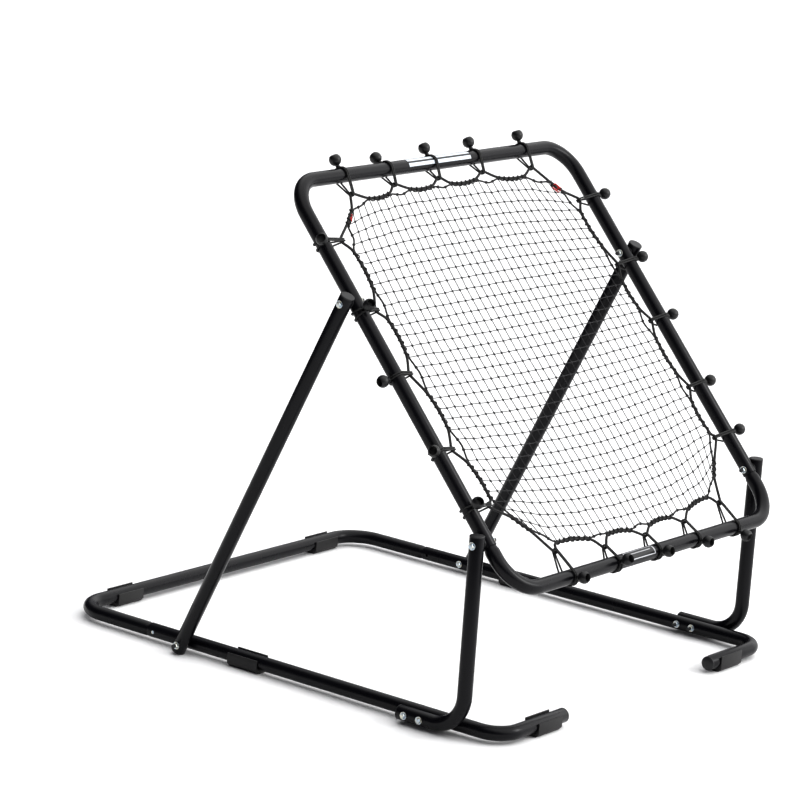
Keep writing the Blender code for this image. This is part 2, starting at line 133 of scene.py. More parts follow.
# %% Value and Finish
class Value:
    """A number that changes over a surface; sums written on it add Math nodes."""

    def __init__(self, finish, socket):
        self.finish, self.socket = finish, socket

    def math(self, operation, *terms):
        made = self.finish.node("ShaderNodeMath", {"operation": operation}, dict(enumerate(terms)))
        return Value(self.finish, made.outputs[0])

    def __add__(self, other):
        return self.math("ADD", self, other)

    def __radd__(self, other):
        return self.math("ADD", other, self)

    def __sub__(self, other):
        return self.math("SUBTRACT", self, other)

    def __rsub__(self, other):
        return self.math("SUBTRACT", other, self)

    def __mul__(self, other):
        return self.math("MULTIPLY", self, other)

    def __rmul__(self, other):
        return self.math("MULTIPLY", other, self)

    def sine(self):
        return self.math("SINE", self)

    def larger(self, other):
        return self.math("MAXIMUM", self, other)

    def between(self, low, high):
        """0 below low, 1 above high, and a smooth rise from one to the other."""
        made = self.finish.node("ShaderNodeMapRange", {"interpolation_type": "SMOOTHSTEP"},
                                {"Value": self, "From Min": low, "From Max": high})
        return Value(self.finish, made.outputs["Result"])


class Finish:
    """One procedural material round a Principled shader."""

    def __init__(self, name, **constants):
        self.material = bpy.data.materials.new(name)
        self.material.use_nodes = True
        self.tree = self.material.node_tree
        self.tree.nodes.clear()
        self.shader = self.node("ShaderNodeBsdfPrincipled", {}, {
            key.replace("_", " "): value for key, value in constants.items()})
        self.node("ShaderNodeOutputMaterial", {}, {"Surface": self.shader.outputs[0]})
        self.place = self.node("ShaderNodeTexCoord").outputs["Object"]

    def node(self, kind, settings=None, inputs=None):
        made = self.tree.nodes.new(kind)
        for key, value in (settings or {}).items():
            setattr(made, key, value)
        for key, value in (inputs or {}).items():
            self.put(made.inputs[key], value)
        return made

    def put(self, socket, value):
        value = value.socket if isinstance(value, Value) else value
        if isinstance(value, bpy.types.NodeSocket):
            self.tree.links.new(value, socket)
        else:
            socket.default_value = value

    def set(self, **inputs):
        """Feed the shader's sockets with what changes over the surface."""
        for key, value in inputs.items():
            self.put(self.shader.inputs[key.replace("_", " ")], value)
        return self

    def noise(self, scale, detail=2.0, roughness=0.5, stretch=(1, 1, 1)):
        """Noise on the piece's own coordinates; scale is in features for each metre."""
        where = self.node("ShaderNodeMapping", {}, {"Vector": self.place, "Scale": stretch})
        made = self.node("ShaderNodeTexNoise", {}, {
            "Vector": where.outputs[0], "Scale": scale, "Detail": detail, "Roughness": roughness})
        return Value(self, made.outputs["Fac"])

    def blend(self, amount, first, second):
        """A colour between two colours."""
        made = self.node("ShaderNodeMix", {"data_type": "RGBA"}, {0: amount})
        self.put(made.inputs[6], first)
        self.put(made.inputs[7], second)
        return made.outputs[2]

    def attribute(self, name):
        """The three numbers of a named attribute."""
        read = self.node("ShaderNodeAttribute", {"attribute_name": name})
        parts = self.node("ShaderNodeSeparateXYZ", {}, {0: read.outputs["Vector"]})
        return [Value(self, parts.outputs[axis]) for axis in "XYZ"]

    def bump(self, height, distance, strength=1.0):
        """Relief of a real depth in metres."""
        made = self.node("ShaderNodeBump", {}, {
            "Height": height, "Distance": distance, "Strength": strength})
        return self.set(Normal=made.outputs[0])


# %% [markdown]
# ## Powder coat
#
# Every tube wears a satin black powder coat. Sprayed powder melts into a skin with a fine orange
# peel, so the finish has a relief of about a millimetre's pitch and almost no depth. Its gloss
# drifts a little from place to place. Transport leaves faint grey rubs, which are long thin marks,
# so a stretched noise with only its peaks kept stands for them. The skin's faint blue cast is
# painted: it stands in for the bluish reflection of light from the back left.

# %% Powder coat
powder = Finish("powder_coat_black", IOR=1.34)
drift = powder.noise(9, 3)
rubs = powder.noise(60, 4, 0.65, (1.0, 0.25, 1.0)).between(0.66, 0.80)
peel = powder.noise(900, 1)
# The blue cast of both tones is a painted reflection of bluish light from the back left; the drift
# between the tones is the coat's own colour.
skin_with_painted_blue_cast = powder.blend(drift, (0.0032, 0.0032, 0.0048, 1), (0.0058, 0.0056, 0.0076, 1))
powder.set(Base_Color=powder.blend(rubs * 0.35, skin_with_painted_blue_cast, (0.030, 0.029, 0.031, 1)),
           Roughness=0.23 + drift * 0.09 + rubs * 0.14)
powder.bump(peel, 0.00006, 0.5)
print("powder coat nodes:", len(powder.tree.nodes))

# %% [markdown]
# ## Moulded plastics
#
# Feet, plugs, spacers and balls are moulded. The feet are a tough matt plastic with a spark-eroded
# grain, and the parts that stand on the ground pick up pale dust, which fades out upward. Plugs
# are smoother. The balls have a soft gloss.


# %% Moulded plastics
def moulded(name, dark, light, rough, grain, depth):
    """A black plastic: a slow drift of tone, and a grain of the given pitch and depth."""
    finish = Finish(name)
    tone = finish.noise(35, 3)
    finish.set(Base_Color=finish.blend(tone, (*dark, 1), (*light, 1)),
               Roughness=rough + tone * 0.12)
    return finish.bump(finish.noise(grain, 2), depth, 0.6)


saddle_plastic = moulded("saddle_plastic", (0.010, 0.010, 0.010), (0.017, 0.016, 0.017),
                         0.46, 1400, 0.00010)
plug_plastic = moulded("plug_plastic", (0.011, 0.011, 0.012), (0.022, 0.022, 0.024),
                       0.42, 900, 0.00005)
ball_plastic = moulded("ball_plastic", (0.006, 0.006, 0.006), (0.012, 0.012, 0.013),
                       0.34, 500, 0.00006)

height = Value(saddle_plastic, saddle_plastic.node(
    "ShaderNodeSeparateXYZ", {}, {0: saddle_plastic.place}).outputs["Z"])
dust = (1 - height.between(0.0, 0.007)) * saddle_plastic.noise(160, 4, 0.6).between(0.42, 0.62)
tone = saddle_plastic.shader.inputs["Base Color"].links[0].from_socket
saddle_plastic.set(Base_Color=saddle_plastic.blend(dust * 0.5, tone, (0.10, 0.095, 0.09, 1)))
print("plastics:", *(p.material.name for p in (saddle_plastic, plug_plastic, ball_plastic)))

# %% [markdown]
# ## Zinc
#
# The bolts and nuts are steel with a thin passivated zinc plate: a bright metal with a cool cast
# in some places and a faint straw one in others. Fine tool marks run over it in every direction.

# %% Zinc plate
zinc = Finish("zinc_plate", Metallic=1.0)
cast = zinc.noise(140, 2)
marks = zinc.noise(1600, 2, 0.6, (1, 1, 0.2))
zinc.set(Base_Color=zinc.blend(cast.between(0.35, 0.65), (0.46, 0.53, 0.60, 1),
                               (0.66, 0.64, 0.55, 1)),
         Roughness=0.24 + marks * 0.18)
zinc.bump(marks, 0.00003, 0.5)

# %% [markdown]
# ## Cord, rope and thread
#
# A braid follows its cord round every bend, so it can't be read from the object's coordinates.
# Each swept cord carries a `weave` attribute instead: the direction round the cord as a cosine
# and a sine, and the distance along it. The angle comes back with an arctangent, and two sets of
# helices that cross, one left-handed and one right-handed, make the braid. A twisted thread has
# one set.


# %% Cord, rope and thread
def braided(name, dark, light, strands, pitch, depth, rough, twisted=False):
    """A cord's finish: strands round it, each going once round in the given length."""
    finish = Finish(name)
    cosine, sine, along = finish.attribute("weave")
    along = along * (2 * math.pi * strands / pitch)
    angle = sine.math("ARCTAN2", sine, cosine) * strands
    relief = (angle + along).sine() * 0.5 + 0.5
    if not twisted:
        relief = relief.larger((angle - along).sine() * 0.5 + 0.5)
    fuzz = finish.noise(1500, 2)
    # The colour follows the relief: crests lighter and grooves between strands darker, which is
    # painted shade; the fuzz is the fibre's own random tone.
    finish.set(Base_Color=finish.blend(relief * 0.7 + fuzz * 0.3, (*dark, 1), (*light, 1)),
               Roughness=rough - relief * 0.08)
    return finish.bump(relief + fuzz * 0.3, depth)


elastic_sheath = braided("elastic_sheath", (0.004, 0.004, 0.004), (0.013, 0.013, 0.013),
                         4, 0.016, 0.0003, 0.62)
rope_braid = braided("rope_braid", (0.004, 0.004, 0.004), (0.018, 0.017, 0.017),
                     4, 0.030, 0.0006, 0.78)
net_thread = braided("net_thread", (0.005, 0.005, 0.006), (0.020, 0.020, 0.022),
                     2, 0.006, 0.0002, 0.66, twisted=True)
marker_thread = braided("marker_thread", (0.42, 0.010, 0.012), (0.80, 0.035, 0.030),
                        2, 0.006, 0.0002, 0.60, twisted=True)
print("cord finishes:", *(c.material.name for c in (elastic_sheath, rope_braid, net_thread)))

# %% [markdown]
# ## Main dimensions
#
# The frame is bent from round tube of one diameter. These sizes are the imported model's own, so
# every new piece lands where its solid is. The net frame is worked out in its own plane, with Y
# up along the frame and Z out of its front, and is then tilted on the pivots in one move.

# %% Main dimensions
TUBE_R, WALL, SWAGE_R, GAP = 0.016, 0.0014, 0.0141, 0.0003
BASE_Z, BASE_X, BASE_FRONT, BASE_REAR = 0.0225, 0.503, -0.5824, 0.6136
REAR_BEND_R, FRONT_BEND_R, FOOT_END_X = 0.078, 0.055, 0.284
SEAM_Y, SPARE_HOLE_Y = 0.3846, 0.3681
OUTER_X, PIVOT_Y, PIVOT_Z = 0.5355, -0.5050, 0.4230
POST_BEND_R, POST_LEG_END, POST_BOLT_Y, CAP_ABOVE_BOLT = 0.074, -0.3430, (-0.3630, -0.4034), 0.017
PANEL_X, PANEL_TILT, PANEL_TOP, PANEL_BOTTOM = 0.500, math.radians(48.5), 0.877, -0.122
TOP_BEND_R, BOTTOM_BEND_R, PANEL_SEAM = 0.080, 0.082, -0.013
STRUT_BOLT, STRUT_FOOT_Y, STRUT_FOOT_END = 0.582, 0.2693, 0.015
NECK_RUN, NECK_INSIDE, NECK_TO_BEND = 0.044, 0.040, 0.010
X_AXIS, Y_AXIS, Z_AXIS = Vector((1, 0, 0)), Vector((0, 1, 0)), Vector((0, 0, 1))
SIDES = ((-1, "left"), (1, "right"))

PANEL = Matrix.Translation((0, PIVOT_Y, PIVOT_Z)) @ Matrix.Rotation(PANEL_TILT, 4, "X")
strut_top = PANEL @ Vector((0, STRUT_BOLT, 0))
strut_foot = Vector((0, STRUT_FOOT_Y, BASE_Z))
STRUT_LENGTH = (strut_foot - strut_top).length
STRUT_ALONG = (strut_foot - strut_top).normalized()
print(f"struts {STRUT_LENGTH * 1000:.0f} mm between bolts")

# %% [markdown]
# ## Finishing a piece
#
# All pieces leave the bench the same way. The mesh is moved to its place, its faces are turned
# outward, curved sides are shaded smooth and real corners are kept sharp. The piece then rides on
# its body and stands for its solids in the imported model.


# %% Finish a piece
made_pieces = []


def finish_piece(name, bm, finish, body, nodes=(), place=None):
    """Turn a bmesh into a finished, named piece that rides on a body."""
    if place is not None:
        bmesh.ops.transform(bm, matrix=place, verts=bm.verts)
    bmesh.ops.recalc_face_normals(bm, faces=bm.faces)
    mesh = bpy.data.meshes.new(name)
    bm.to_mesh(mesh)
    bm.free()
    mesh.materials.append(finish.material)
    mesh.shade_smooth()
    mesh.set_sharp_from_angle(angle=math.radians(35))
    piece = bpy.data.objects.new(name, mesh)
    bpy.context.scene.collection.objects.link(piece)
    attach(piece, body)
    if nodes:
        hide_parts(*nodes)
    made_pieces.append(piece)


def frame_along(heading):
    """Turn +Z to a heading."""
    heading = Vector(heading).normalized()
    side = X_AXIS if abs(heading.dot(X_AXIS)) < 0.9 else Z_AXIS
    return Matrix((side, heading.cross(side).normalized(), heading)).transposed().to_4x4()


def only(kind, geometry):
    return [g for g in geometry if isinstance(g, kind)]


def round_edges(bm, edges, width):
    """Round some edges of a bmesh."""
    bmesh.ops.bevel(bm, geom=edges, offset=width, offset_type="OFFSET", segments=2, profile=0.5,
                    affect="EDGES", material=-1)


# %% [markdown]
# ## Drawing a tube
#
# A bent tube could be a curve with a round bevel, but a curve has no wall and no swaged ends.
# Here a ring with the wall's thickness is pulled along: `extrude_face_region` makes the straight
# runs, and `spin` makes the bends, as a bending machine does. A step scales the moving ring, which
# gives the short cone where one tube is necked down to slide into the next. Both end faces get a
# small rounded edge, where a saw cut has been broken.


# %% The tube drawer
class Tube:
    """A round tube drawn from one end to the other."""

    ROUND, BEND_STEPS = 40, 22
    SHOULDER = ((0.0025, 0.4), (0.0035, 0.6))     # length and share of the change, for each slope

    def __init__(self, start, heading, radius=TUBE_R):
        self.bm = bmesh.new()
        self.at, self.heading = Vector(start), Vector(heading).normalized()
        place = Matrix.Translation(self.at) @ frame_along(self.heading)
        for r in (radius, radius - WALL):
            bmesh.ops.create_circle(self.bm, segments=self.ROUND, radius=r, matrix=place)
        self.faces = bmesh.ops.bridge_loops(self.bm, edges=self.bm.edges[:])["faces"]
        self.length = 0.0

    def pull(self):
        edges = dict.fromkeys(e for f in self.faces for e in f.edges)
        return [*self.faces, *edges]

    def straight(self, length, factor=1.0):
        """A straight run; with a factor, the tube changes diameter along it."""
        made = bmesh.ops.extrude_face_region(self.bm, geom=self.pull())["geom"]
        verts = only(bmesh.types.BMVert, made)
        bmesh.ops.translate(self.bm, verts=verts, vec=self.heading * length)
        self.faces = only(bmesh.types.BMFace, made)
        self.at += self.heading * length
        self.length += length
        if factor != 1.0:
            space = (Matrix.Translation(self.at) @ frame_along(self.heading)).inverted()
            bmesh.ops.scale(self.bm, verts=verts, vec=(factor, factor, 1), space=space)
        return self

    def neck(self, factor):
        """A swaged shoulder: a short cone in two slopes."""
        for length, share in self.SHOULDER:
            self.straight(length, factor ** share)
        return self

    def bend(self, towards, radius):
        """A right-angle bend."""
        towards = Vector(towards).normalized()
        centre = self.at + towards * radius
        made = bmesh.ops.spin(self.bm, geom=self.pull(), cent=centre,
                              axis=self.heading.cross(towards), angle=math.pi / 2,
                              steps=self.BEND_STEPS, use_duplicate=False)["geom_last"]
        self.faces = only(bmesh.types.BMFace, made)
        self.at, self.heading = centre + self.heading * radius, towards
        self.length += radius * math.pi / 2
        return self

    def done(self):
        """The finished bmesh, with the saw cuts' edges broken."""
        bmesh.ops.recalc_face_normals(self.bm, faces=self.bm.faces)
        cuts = [e for e in self.bm.edges if e.calc_face_angle(0.0) > math.radians(60)]
        round_edges(self.bm, cuts, 0.0004)
        return self.bm


# %% [markdown]
# ## Cross holes
#
# The rails keep a spare pair of holes for a flatter net. A hole across a tube is a true cut, so
# this one is a Boolean. It is applied at once and its cutter is thrown away, so that the finished
# piece is a plain mesh.


# %% Cross holes
HOLE_R, DRILL_LENGTH = 0.0034, 0.06


def drilled(bm, at):
    """Cut a cross hole along X through a bmesh, and give back the new bmesh."""
    cutter_bm = bmesh.new()
    place = Matrix.Translation(at) @ Matrix.Rotation(math.pi / 2, 4, "Y")
    bmesh.ops.create_cone(cutter_bm, cap_ends=True, segments=20, radius1=HOLE_R, radius2=HOLE_R,
                          depth=DRILL_LENGTH, matrix=place)
    pair = []
    for label, shape in (("blank", bm), ("drill", cutter_bm)):
        bmesh.ops.recalc_face_normals(shape, faces=shape.faces)
        mesh = bpy.data.meshes.new(label)
        shape.to_mesh(mesh)
        shape.free()
        pair.append(bpy.data.objects.new(label, mesh))
        bpy.context.scene.collection.objects.link(pair[-1])
    cut = pair[0].modifiers.new("cut", "BOOLEAN")
    cut.operation, cut.solver, cut.object = "DIFFERENCE", "EXACT", pair[1]
    graph = bpy.context.evaluated_depsgraph_get()
    cut_mesh = bpy.data.meshes.new_from_object(pair[0].evaluated_get(graph))
    result = bmesh.new()
    result.from_mesh(cut_mesh)
    for thing in pair:
        bpy.data.objects.remove(thing)
    return result


# %% [markdown]
# ## The base
#
# The base is a U at the back whose necked ends slide into two side rails. Each rail turns inward
# at the front into a short foot bar. The neck stays in sight for a few millimetres at the joint,
# where its shoulder catches the light.

# %% Base tubes
leg = BASE_REAR - REAR_BEND_R - SEAM_Y - NECK_TO_BEND
neck = SWAGE_R / TUBE_R
rear = Tube((-BASE_X, SEAM_Y - NECK_INSIDE, BASE_Z), Y_AXIS, SWAGE_R).straight(NECK_RUN)
rear.neck(1 / neck).straight(leg).bend(X_AXIS, REAR_BEND_R).straight(2 * (BASE_X - REAR_BEND_R))
rear.bend(-Y_AXIS, REAR_BEND_R).straight(leg).neck(neck).straight(NECK_RUN)
rear_bm = rear.done()
for side, _ in SIDES:
    rear_bm = drilled(rear_bm, (side * BASE_X, SPARE_HOLE_Y, BASE_Z))
finish_piece("rear_bar", rear_bm, powder, "base", ["rear_base_tube"])
print(f"rear bar: {rear.length:.2f} m of tube")

for side, word in SIDES:
    rail = Tube((side * BASE_X, SEAM_Y, BASE_Z), -Y_AXIS)
    rail.straight(SEAM_Y - BASE_FRONT - FRONT_BEND_R).bend(-side * X_AXIS, FRONT_BEND_R)
    rail.straight(BASE_X - FRONT_BEND_R - FOOT_END_X)
    rail_bm = drilled(rail.done(), (side * BASE_X, SPARE_HOLE_Y, BASE_Z))
    finish_piece(f"rail_{word}", rail_bm, powder, "base", [f"{word}_base_rail"])
    print(f"rail {word}: {rail.length:.2f} m of tube")

# %% [markdown]
# ## Posts and net frame
#
# A post is one tube: its leg lies beside the rail, and it turns up to the pivot. The net frame is
# two Us. The upper one sleeves over the necked ends of the lower one just below the pivots, so one
# pivot bolt goes through both.

# %% Posts and net frame
for side, word in SIDES:
    post = Tube((side * OUTER_X, POST_LEG_END, BASE_Z), -Y_AXIS)
    post.straight(POST_LEG_END - PIVOT_Y - POST_BEND_R).bend(Z_AXIS, POST_BEND_R)
    post.straight(PIVOT_Z + CAP_ABOVE_BOLT - BASE_Z - POST_BEND_R)
    finish_piece(f"post_{word}", post.done(), powder, "base", [f"{word}_post"])

upper = Tube((-PANEL_X, PANEL_SEAM, 0), Y_AXIS).straight(PANEL_TOP - TOP_BEND_R - PANEL_SEAM)
upper.bend(X_AXIS, TOP_BEND_R).straight(2 * (PANEL_X - TOP_BEND_R)).bend(-Y_AXIS, TOP_BEND_R)
upper.straight(PANEL_TOP - TOP_BEND_R - PANEL_SEAM)
finish_piece("net_frame_upper", upper.done(), powder, "panel", ["panel_upper_tube"],
             PANEL)

run = PANEL_SEAM - NECK_TO_BEND - PANEL_BOTTOM - BOTTOM_BEND_R
lower = Tube((-PANEL_X, PANEL_SEAM + NECK_INSIDE, 0), -Y_AXIS, SWAGE_R).straight(NECK_RUN)
lower.neck(1 / neck).straight(run).bend(X_AXIS, BOTTOM_BEND_R)
lower.straight(2 * (PANEL_X - BOTTOM_BEND_R))
lower.bend(Y_AXIS, BOTTOM_BEND_R).straight(run).neck(neck).straight(NECK_RUN)
finish_piece("net_frame_lower", lower.done(), powder, "panel", ["panel_lower_tube"],
             PANEL)
print(f"net frame: {upper.length + lower.length:.2f} m of tube")

# %% [markdown]
# ## Struts
#
# Each strut is a straight tube just outside the frame, from a bolt on the net frame's side tube
# down to a bolt on the rail.

# %% Struts
for side, word in SIDES:
    top = strut_top + side * OUTER_X * X_AXIS - STRUT_ALONG * CAP_ABOVE_BOLT
    strut = Tube(top, STRUT_ALONG).straight(CAP_ABOVE_BOLT + STRUT_LENGTH + STRUT_FOOT_END)
    finish_piece(f"strut_{word}_tube", strut.done(), powder, f"strut_{word}", [f"{word}_strut"])

# %% [markdown]
# ## Saddle feet
#
# A foot is a moulded channel that is pushed onto the tube from below. It cradles the lower half of
# the tube, and its flat walls stand up clear of the upper half, one of them higher than the other.
# The section is one polygon that is pulled along the tube, and a bevel rounds every edge, as the
# mould does.

# %% Saddle feet
CLIP_LENGTH, CLIP_WALL, CLIP_LOW, CLIP_HIGH = 0.084, 0.0030, 0.0085, 0.0142
SOLE_TOP, SOLE_CHAMFER = -0.0150, 0.0075
REAR_CLIP_X, MID_CLIP_Y, FRONT_CLIP_X = {"left": -0.337, "right": 0.380}, 0.105, 0.352


def saddle():
    """A foot along Y round the origin, with its higher wall on the +X side."""
    inner = TUBE_R + 0.0002
    outer = inner + CLIP_WALL
    bm = bmesh.new()
    start = bm.verts.new((inner, -CLIP_LENGTH / 2, 0))
    made = bmesh.ops.spin(bm, geom=[start], cent=(0, -CLIP_LENGTH / 2, 0), axis=Y_AXIS,
                          angle=math.pi, steps=28, use_duplicate=False)["geom_last"]
    end = only(bmesh.types.BMVert, made)[0]
    corners = [(-inner, CLIP_LOW), (-outer, CLIP_LOW), (-outer, SOLE_TOP),
               (-outer + SOLE_CHAMFER, -BASE_Z), (outer - SOLE_CHAMFER, -BASE_Z),
               (outer, SOLE_TOP), (outer, CLIP_HIGH), (inner, CLIP_HIGH)]
    ring = [bm.verts.new((x, -CLIP_LENGTH / 2, z)) for x, z in corners]
    for a, b in zip([end, *ring], [*ring, start]):
        bm.edges.new((a, b))
    bmesh.ops.contextual_create(bm, geom=bm.edges[:])
    made = bmesh.ops.extrude_face_region(bm, geom=[*bm.faces, *bm.edges])["geom"]
    bmesh.ops.translate(bm, verts=only(bmesh.types.BMVert, made), vec=(0, CLIP_LENGTH, 0))
    bmesh.ops.recalc_face_normals(bm, faces=bm.faces)
    sharp = [e for e in bm.edges if e.calc_face_angle(0.0) > math.radians(30)]
    round_edges(bm, sharp, 0.0006)
    return bm


for side, word in SIDES:
    for where, at, degrees in (("rear", (REAR_CLIP_X[word], BASE_REAR), 90),
                               ("mid", (side * BASE_X, MID_CLIP_Y), 180 if side > 0 else 0),
                               ("front", (side * FRONT_CLIP_X, BASE_FRONT), -side * 90)):
        place = Matrix.Translation((*at, BASE_Z)) @ Matrix.Rotation(math.radians(degrees), 4, "Z")
        finish_piece(f"saddle_{where}_{word}", saddle(), saddle_plastic, "base",
                     [f"foot_clip_{where}_{word}"], place)
print("six saddle feet, each", round(CLIP_LENGTH * 1000), "mm long")

# %% [markdown]
# ## Plugs
#
# Open tube ends are closed by push-in plugs. Only the head shows: a disc as wide as the tube with
# a rounded rim. It is a turned shape, so half of its outline is drawn once and `spin` sweeps it
# all the way round.


# %% Turned shapes and plugs
def turned(outline, steps=40):
    """A closed solid swept round Z from (radius, height) points that start and end on the axis."""
    bm = bmesh.new()
    verts = [bm.verts.new((radius, 0, height)) for radius, height in outline]
    edges = [bm.edges.new(pair) for pair in zip(verts, verts[1:])]
    bmesh.ops.spin(bm, geom=[*verts, *edges], cent=(0, 0, 0), axis=Z_AXIS, angle=2 * math.pi,
                   steps=steps, use_merge=True, use_duplicate=False)
    bmesh.ops.remove_doubles(bm, verts=bm.verts, dist=1e-6)
    bmesh.ops.recalc_face_normals(bm, faces=bm.faces)
    return bm


def plug(dome):
    """A plug whose head rests on the tube's end at height 0; dome raises its middle."""
    bore = TUBE_R - WALL - GAP
    rim = TUBE_R + 0.0001
    return turned([(0, -0.012), (bore - 0.001, -0.012), (bore, -0.009), (bore, 0.0002),
                   (rim, 0.0002), (rim, 0.0018), (rim - 0.0004, 0.0026), (rim - 0.0013, 0.0031),
                   (rim - 0.0032, 0.0032 + dome * 0.3), (rim * 0.5, 0.0032 + dome * 0.8),
                   (0, 0.0032 + dome)])


def heading_place(at, heading):
    return Matrix.Translation(at) @ frame_along(heading)


for side, word in SIDES:
    x, strut = side * OUTER_X, f"strut_{word}"
    top = strut_top + x * X_AXIS - STRUT_ALONG * CAP_ABOVE_BOLT
    end = strut_foot + x * X_AXIS + STRUT_ALONG * STRUT_FOOT_END
    for kind, dome, body, nodes, at, heading in (
            ("foot_plug", 0.0025, "base", [f"foot_cap_{word}"],
             (side * FOOT_END_X, BASE_FRONT, BASE_Z), -side * X_AXIS),
            ("post_plug", 0, "base", [f"{word}_post_cap"],
             (x, PIVOT_Y, PIVOT_Z + CAP_ABOVE_BOLT), Z_AXIS),
            ("post_leg_plug", 0, "base", (), (x, POST_LEG_END, BASE_Z), Y_AXIS),
            ("strut_top_plug", 0, strut, [f"{word}_strut_cap"], top, -STRUT_ALONG),
            ("strut_foot_plug", 0.001, strut, (), end, STRUT_ALONG)):
        finish_piece(f"{kind}_{word}", plug(dome), plug_plastic, body, nodes,
                     heading_place(at, heading))
print("ten plugs")

# %% [markdown]
# The spare holes are for the struts' bolts when the net is set flatter. Until then, a small bright
# metal stopper closes each one from the outside, level with the tube, so that a strut can swing
# past it.

# %% Stoppers in the spare holes
for side, word in SIDES:
    stopper = turned([(0, -0.004), (0.0030, -0.004), (0.0031, -0.0012), (0.0039, -0.0010),
                      (0.0040, -0.0004), (0.0036, 0), (0.0020, 0.0002), (0, 0.0003)], 24)
    finish_piece(f"stopper_{word}", stopper, zinc, "base", (),
                 heading_place((side * (BASE_X + TUBE_R), SPARE_HOLE_Y, BASE_Z), side * X_AXIS))

# %% [markdown]
# ## Bolts, nuts and spacers
#
# The bolts are zinc plated, with a washer under a hexagon head on one side and a washer and a nut
# on the other. A black cap covers each thread end, so that nobody is scratched. A hexagon is a
# circle of six sides that is pulled up, and its chamfer comes from a bevel of the top edges. One
# plastic spacer on each pivot and strut bolt keeps the tubes apart.

# %% Fastener parts
HEAD_AF, WASHER_R, WASHER_H, SHANK_R = 0.0106, 0.0086, 0.0013, 0.0028
HEAD, NUT = (0.0038, 0.0007), (0.0046, 0.0006)      # height and chamfer


def hexagon(bm, low, high, chamfer):
    """A hexagon block between two heights, with a chamfered top."""
    made = bmesh.ops.create_cone(bm, cap_ends=True, segments=6, radius1=HEAD_AF / math.sqrt(3),
                                 radius2=HEAD_AF / math.sqrt(3), depth=high - low,
                                 matrix=Matrix.Translation((0, 0, (low + high) / 2)))
    top = [v for v in made["verts"] if v.co.z > high - 1e-6]
    round_edges(bm, [e for e in bm.edges if all(v in top for v in e.verts)], chamfer)


def add_turned(bm, outline, steps=28):
    """Add a turned solid to a bmesh."""
    part = turned(outline, steps)
    mesh = bpy.data.meshes.new("turned")
    part.to_mesh(mesh)
    part.free()
    bm.from_mesh(mesh)
    bpy.data.meshes.remove(mesh)


def washer(bm, low, high):
    add_turned(bm, [(0, low), (WASHER_R - 0.0003, low), (WASHER_R, low + 0.0003),
                    (WASHER_R, high - 0.0003), (WASHER_R - 0.0003, high), (0, high)])


def hexagon_on_washer(height, chamfer):
    """A bolt's head or a nut on its washer, with the tube's surface at height 0."""
    bm = bmesh.new()
    washer(bm, 0.0, WASHER_H)
    hexagon(bm, WASHER_H, WASHER_H + height, chamfer)
    return bm


def shank(bm, length):
    add_turned(bm, [(0, -length), (SHANK_R, -length), (SHANK_R, 0.0002), (0, 0.0002)], 16)


def thread_cap():
    """The black cap on a thread end, with the tube's surface at height 0."""
    low, high = WASHER_H + 0.0044, 0.0136
    return turned([(0, low), (0.0042, low), (0.0043, low + 0.0006), (0.0040, high - 0.0014),
                   (0.0031, high - 0.0003), (0, high)], 24)


print("head", round(HEAD_AF * 1000, 1), "mm across flats, washer", round(WASHER_R * 2000, 1), "mm")

# %% [markdown]
# The lower strut bolt is special: its head and shank stay in the rail, while its nut moves with
# the strut when the net's angle is changed. So the two halves ride on different bodies.

# %% Bolts in their places
outside = OUTER_X + TUBE_R
for side, word in SIDES:
    out, inward = side * X_AXIS, -side * X_AXIS
    pivot = Vector((0, PIVOT_Y, PIVOT_Z))
    sites = [("pivot_bolt", pivot, "base", PANEL_X),
             ("strut_bolt", strut_top, "panel", PANEL_X)]
    sites += [(f"post_bolt_{n}", Vector((0, y, BASE_Z)), "base", BASE_X)
              for n, y in enumerate(POST_BOLT_Y, 1)]
    for kind, at, body, inner_x in sites:
        node = f"{word}_{kind}"
        bolt = hexagon_on_washer(*HEAD)
        shank(bolt, outside - inner_x + TUBE_R + 0.002)
        finish_piece(f"{kind}_{word}_head", bolt, zinc, body, [node],
                     heading_place(at + out * outside, out))
        back = heading_place(at + out * (inner_x - TUBE_R), inward)
        finish_piece(f"{kind}_{word}_nut", hexagon_on_washer(*NUT), zinc, body, (), back)
        finish_piece(f"{kind}_{word}_thread_cap", thread_cap(), plug_plastic, body, (),
                     back)
    bolt = hexagon_on_washer(*HEAD)
    shank(bolt, 2 * TUBE_R)
    finish_piece(f"foot_bolt_{word}_head", bolt, zinc, "base", [f"{word}_foot_bolt"],
                 heading_place(strut_foot + out * (BASE_X - TUBE_R), inward))
    front = heading_place(strut_foot + out * outside, out)
    finish_piece(f"foot_bolt_{word}_nut", hexagon_on_washer(*NUT), zinc, f"strut_{word}",
                 [f"{word}_foot_nut"], front)
    finish_piece(f"foot_bolt_{word}_thread_cap", thread_cap(), plug_plastic, f"strut_{word}", (),
                 front)
    for kind, at, body in (("pivot", pivot, "base"), ("strut", strut_top, "panel")):
        ring = turned([(0, 0.0002), (0.0098, 0.0002), (0.0104, 0.0007), (0.0104, 0.0028),
                       (0.0098, 0.0033), (0, 0.0033)], 32)
        finish_piece(f"{kind}_spacer_{word}_ring", ring, plug_plastic, body,
                     [f"{word}_{kind}_spacer"],
                     heading_place(at + out * (PANEL_X + TUBE_R - 0.0001), out))
print("five bolts and two spacers on each side")

# %% [markdown]
# ## Sweeping a cord
#
# Cords, ropes and threads are all the same kind of shape: a small circle pulled along a path. The
# ring is extruded from station to station, and each time the new ring is turned to face along the
# path. A fixed "up" direction keeps the ring from twisting, and the same direction closes a loop
# exactly: the last ring is extruded onto the first and welded to it. Bridging the two rings would
# be shorter to write, but where a cord doubles back sharply it pairs them in reverse, and part of
# the cord turns inside out. Each vertex is given its `weave` value on the way.


